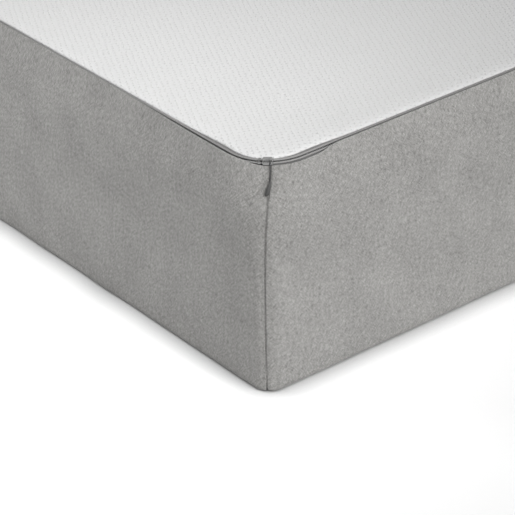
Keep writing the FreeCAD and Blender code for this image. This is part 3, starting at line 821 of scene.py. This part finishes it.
# The wadding under the knit: its rounded edge, between its underside and its upper face.
pad_edge = 0.0243
pad_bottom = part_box("top_wadding")[0].z + 0.0001
pad_top = 0.2476
PAD_ROUNDING = ((0.0258, pad_bottom), (0.0245, 0.2350), (pad_edge, 0.2375), (0.0246, 0.2402),
                (0.0258, 0.2419), (0.0290, 0.2441), (0.0305, 0.2462), (0.0325, 0.2472))
section = [(x, pad_bottom) for x in reversed(plate_insets) if x > 0.03]
section += PAD_ROUNDING
section += [(x, pad_top) for x in plate_insets if x > 0.040]
inset, level = closed_section(section)
reach = tapering_radius(inset, pad_edge, concentric_reach - pad_edge)
grid = ring_grid(plate_stations, inset, reach, level)
pad = swept("top_padding", grid, ring=True, plate=True, uv=plan_uv(grid))
place_piece(pad, "top_cover", wadding, ["top_wadding"])

low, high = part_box("top_backing")
backing_inset = half_width - high.x
grid = flat_plate(backing_inset, concentric_reach - backing_inset, low.z, high.z, easing=0.0003)
lining = swept("top_lining", grid, ring=True, plate=True, uv=plan_uv(grid))
place_piece(lining, "top_cover", backing_cloth, ["top_backing"])

low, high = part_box("care_label")
label_x = np.linspace(low.x, high.x, 16)[:, None] + np.zeros((1, 24))
label_y = np.linspace(low.y, high.y, 24)[None, :] + np.zeros((16, 1))
curl = 0.00008 * np.sin(label_y / 0.009) * np.sin(label_x / 0.012)
outer = np.stack([label_x, label_y, high.z - 0.0001 + curl], axis=-1)[::-1]
label_thickness = 0.00018
label = sheet_from("blank_care_label", outer, label_thickness, uv=outer[..., :2])
place_piece(label, "top_cover", label_cloth, ["care_label"])

# ---------------------------------------------------------------- zip

# The length that the upper zip leaves out at each of its ends, beside the parked slider.
open_gap = 0.0042
# The slider is parked this far along the zip, anticlockwise from the near corner's diagonal.
parked_run = zip_radius * math.radians(4.0)
tape_half = 0.0004
LOWER, UPPER = -1, 1


class ZipRun:
    """Evenly spaced places along the zip's centre line, from the near corner and back to it.

    A gap is the length that is left out at each end. Without one, the run is a closed ring.
    """

    def __init__(self, pitch, gap=0.0):
        stations = ring_stations(concentric_reach - 0.02, 0.001, 0.004, 0.05)
        inset = np.array([zip_inset, zip_inset + 0.001])
        ring = ring_grid(stations, inset, concentric_reach - inset, 0 * inset)
        ring = np.concatenate([ring, ring[:, :1]], axis=1)
        run = distances(ring, 1)[0]
        self.length = run[-1] - 2 * gap
        count = int(round(self.length / pitch))
        marks = np.linspace(gap, run[-1] - gap, count + 1) + (parked_run if gap else 0)
        marks = marks % run[-1]
        if not gap:
            marks = marks[:-1]
        self.base = np.stack([np.interp(marks, run, ring[0, :, k]) for k in range(2)], axis=-1)
        inner = np.stack([np.interp(marks, run, ring[1, :, k]) for k in range(2)], axis=-1)
        self.inwards = (inner - self.base) / np.linalg.norm(inner - self.base, axis=1, keepdims=True)

    def grid(self, across, proud):
        """Points at distances across and proud, each a value per row and column."""
        inset = across * math.cos(zip_slope) - proud * math.sin(zip_slope)
        level = across * math.sin(zip_slope) + proud * math.cos(zip_slope)
        points = np.empty(np.broadcast(inset, self.base[:, 0]).shape + (3,))
        points[..., :2] = self.base + self.inwards * inset[..., None]
        points[..., 2] = zip_level + level
        return points


def tape_outer(side):
    """A tape's outer face, upwards, as (across, proud) points: flat by the coil, then its tail."""
    bend = np.array([side * 0.0030, tape_half])
    if side == LOWER:
        lean = math.radians(18.2)
        length = 0.010
        inwards, upwards = -math.sin(lean), -math.cos(lean)
    else:
        rise = math.radians(8)
        length = 0.0088
        inwards, upwards = math.cos(rise), math.sin(rise)
    # The tail's heading, turned into the zip's tilted plane.
    heading = np.array([inwards * math.cos(zip_slope) + upwards * math.sin(zip_slope),
                        upwards * math.cos(zip_slope) - inwards * math.sin(zip_slope)])
    flat = [np.array([side * across, tape_half]) for across in (0.0007, 0.0018, 0.0027)]
    tail = [bend + heading * length * share for share in (0.08, 0.2, 0.4, 0.6, 0.8, 1.0)]
    points = flat + tail
    return np.array(points[::-1] if side == LOWER else points)


def tape(name, side, gap):
    """A zip tape, with its width and length."""
    run = ZipRun(0.006, gap)
    section = tape_outer(side)
    outer = run.grid(section[:, :1], section[:, 1:])
    piece = sheet_from(name, outer, 2 * tape_half, ring=gap == 0, uv=cloth_uv(outer))
    width = float(distances(outer, 0)[-1, 0])
    return piece, width, run.length


def coil(name, side, gap, phase):
    """A nylon coil: a ridged rod whose turns lie side by side along the tape."""
    tooth_pitch = 0.0017
    run = ZipRun(tooth_pitch / 3, gap)
    turn = -np.arange(6) * math.pi / 3 + math.pi / 6
    step = (np.arange(len(run.base)) + phase) % 3
    swell = np.where(step == 0, 0.0, 1.0)
    middle, half = (0.00165, 0.00115) if side == UPPER else (-0.00150, 0.00100)
    across = middle + np.cos(turn)[:, None] * (half + 0.00020 * swell)
    proud = 0.00135 + np.sin(turn)[:, None] * (0.00058 + 0.00030 * swell)
    return swept(name, run.grid(across, proud), ring=gap == 0)


ZIP_HALVES = (("lower", LOWER, "lower_cover", "border_cover_front", 0.0, 0),
              ("upper", UPPER, "top_cover", "top_cover_knit", open_gap, 1))
for part, side, body, neighbour, gap, phase in ZIP_HALVES:
    piece, width, length = tape(f"{part}_zip_tape", side, gap)
    place_piece(piece, body, tape_cloth, [f"zip_tape_{part}"])
    teeth = coil(f"{part}_zip_coil", side, gap, phase)
    place_piece(teeth, body, coil_plastic, [f"zip_coil_{part}"])

for node in ("zip_stop_lower", "zip_stop_upper", "slider_body", "slider_bail", "pull_ring"):
    metal = frame["nodes"][node]
    metal.data.materials.clear()
    metal.data.materials.append(zip_metal)

# ---------------------------------------------------------------- pull

# The pull hangs from the bail's bar and leans outwards, over the border's shoulder.
pull_lean = math.radians(30.5)
pull_right = -Vector(joints["zip_pull_swing"]["axis"]).normalized()
pull_outwards = Vector((pull_right.y, -pull_right.x, 0))
pull_down = pull_outwards * math.sin(pull_lean) - Vector((0, 0, math.cos(pull_lean)))
pull_face = pull_outwards * math.cos(pull_lean) + Vector((0, 0, math.sin(pull_lean)))


def pull_points(right, down, proud):
    """Points at distances to the right of the bail's bar, down the pull and out of its face."""
    right, down, proud = (x[..., None] for x in np.broadcast_arrays(right, down, proud))
    return (np.array(bail_bar) + right * np.array(pull_right) + down * np.array(pull_down)
            + proud * np.array(pull_face))


cord_half_width, cord_half_thickness = 0.00062, 0.00045
braid_length, braid_depth = 0.00042, 0.10
cord_down = np.linspace(0.0018, 0.0212, 60)[None, :]
turn = -(np.arange(12) * math.pi / 6)[:, None]
braid = 1 + (braid_depth * np.cos(2 * turn + cord_down / braid_length)
             * np.cos(2 * turn - cord_down / braid_length))
cord_grid = pull_points(cord_half_width * np.cos(turn) * braid, cord_down + 0 * turn,
                        cord_half_thickness * np.sin(turn) * braid)
pull_cord = swept("zip_pull_cord", cord_grid)
place_piece(pull_cord, "zip_pull", cord_cloth, ["pull_cord"])

# The tab's outline: distances to the right of the cord and down from the bail's bar.
TAB = ((-0.0011, 0.0222), (-0.0056, 0.0335), (-0.0046, 0.0357), (-0.0006, 0.0334), (0.0013, 0.0222),
       (0.0007, 0.0205), (-0.0007, 0.0205))
tab_half_thickness = 0.00095
tab_edge_radius = 0.00045
tab_right, tab_down = np.array(TAB).T
both = np.concatenate([pull_points(tab_right, tab_down, face * tab_half_thickness) for face in (1, -1)])
count = len(TAB)
faces = [list(range(count)), list(range(2 * count - 1, count - 1, -1))]
faces += [[k, k + count, (k + 1) % count + count, (k + 1) % count] for k in range(count)]
pull_tab = add_mesh("zip_pull_tab", both, faces)
work = bmesh.new()
work.from_mesh(pull_tab.data)
bmesh.ops.recalc_face_normals(work, faces=work.faces)
bmesh.ops.bevel(work, geom=work.edges[:], offset=tab_edge_radius, segments=3, affect="EDGES")
work.to_mesh(pull_tab.data)
work.free()
pull_tab.data.shade_smooth()
place_piece(pull_tab, "zip_pull", tab_plastic, ["pull_tab"])


# ---------------------------------------------------------------- floor, light and camera

def stage_floor():
    """A floor that is white away from the mattress, with a painted contact shadow close to it."""
    surface = Surface("pale floor with painted shadow", (0.86, 0.86, 0.86), 1.0, specular_ior_level=0.0)
    # Painted contact shadow: where ambient occlusion finds the mattress near, the floor's colour darkens
    # and its painted glow dims. Elsewhere the floor glows white, which is painted light.
    near = surface.node("ShaderNodeAmbientOcclusion", result=1, settings={"samples": 8}, i1=0.030)
    painted_glow = surface.spread(near, 0.50, 1.0, 0.0, 0.20)
    surface.shader.inputs["Emission Color"].default_value = (1, 1, 1, 1)
    surface.tree.links.new(painted_glow, surface.shader.inputs["Emission Strength"])
    grain = surface.noise(surface.solid(0.2), detail=2.0)
    # The floor's colour: faint grain times the painted contact shadow.
    surface.shade(surface.times(surface.spread(grain, 0.0, 1.0, 0.985, 1.015),
                                surface.spread(near, 0.50, 0.98, 0.66, 1.0)))
    half_size = 14.0
    corners = [(x * half_size, y * half_size, 0) for x, y in ((-1, -1), (1, -1), (1, 1), (-1, 1))]
    floor = add_mesh("floor", corners, [[0, 1, 2, 3]])
    floor.data.materials.append(surface.material)
    floor.location.z = cad_low.z - 0.0002


stage_floor()

world = bpy.data.worlds.new("studio")
world.use_nodes = True
world.node_tree.nodes["Background"].inputs["Color"].default_value = (1, 1, 1, 1)
world.node_tree.nodes["Background"].inputs["Strength"].default_value = 0.38
bpy.context.scene.world = world


def lamp(name, kind, strength, place, target, **values):
    """A studio light at a place that shines towards a target."""
    light = bpy.data.lights.new(name, kind)
    light.energy = strength
    for key, value in values.items():
        setattr(light, key, value)
    holder = bpy.data.objects.new(name, light)
    holder.location = place
    holder.rotation_mode = "QUATERNION"
    holder.rotation_quaternion = (Vector(place) - Vector(target)).to_track_quat("Z", "Y")
    bpy.context.scene.collection.objects.link(holder)


lamp("key", "SUN", 2.50, (0.86, 0.12, 0.50), (0, 0, 0), angle=math.radians(40))
lamp("near corner", "SPOT", 36.0, (0.95, -1.25, 1.45), (0.55, -1.0, 0.25), spot_size=math.radians(40),
     spot_blend=0.7, shadow_soft_size=0.25)
lamp("far corner", "SPOT", 90.0, (-1.2, 1.8, 2.0), (-0.5, 0.5, 0.2), spot_size=math.radians(42),
     spot_blend=1.0, shadow_soft_size=0.3)
lamp("left fill", "AREA", 5.0, (-0.35, -1.65, 0.65), (0.4, -1.0, 0.15), size=0.5)

scene = bpy.context.scene
scene.view_settings.view_transform = "Standard"

# The camera is aimed at the near corner, halfway up, but shifted: that point lies a little
# right of the middle of the view and below it.
camera_azimuth = math.radians(53.004)
camera_elevation = math.radians(29.914)
camera_roll = math.radians(-2.317)
camera_distance = 2.5784
camera_lens = 183.75
aim_aside = 0.0053
aim_below = 0.0326

aim = Vector((half_width, -half_length, cad_high.z / 2))
backwards = Vector((math.sin(camera_azimuth) * math.cos(camera_elevation),
                    -math.cos(camera_azimuth) * math.cos(camera_elevation), math.sin(camera_elevation)))
level_right = Vector((math.cos(camera_azimuth), math.sin(camera_azimuth), 0))
upright = backwards.cross(level_right)
right = math.cos(camera_roll) * level_right + math.sin(camera_roll) * upright
up = math.cos(camera_roll) * upright - math.sin(camera_roll) * level_right

camera = bpy.data.objects.new("camera", bpy.data.cameras.new("camera"))
camera.data.lens = camera_lens
camera.data.sensor_width = 36
camera.data.clip_end = 60
camera.rotation_mode = "QUATERNION"
camera.rotation_quaternion = Matrix((right, up, backwards)).transposed().to_quaternion()
camera.location = aim + backwards * camera_distance - right * aim_aside + up * aim_below
scene.collection.objects.link(camera)
scene.camera = camera
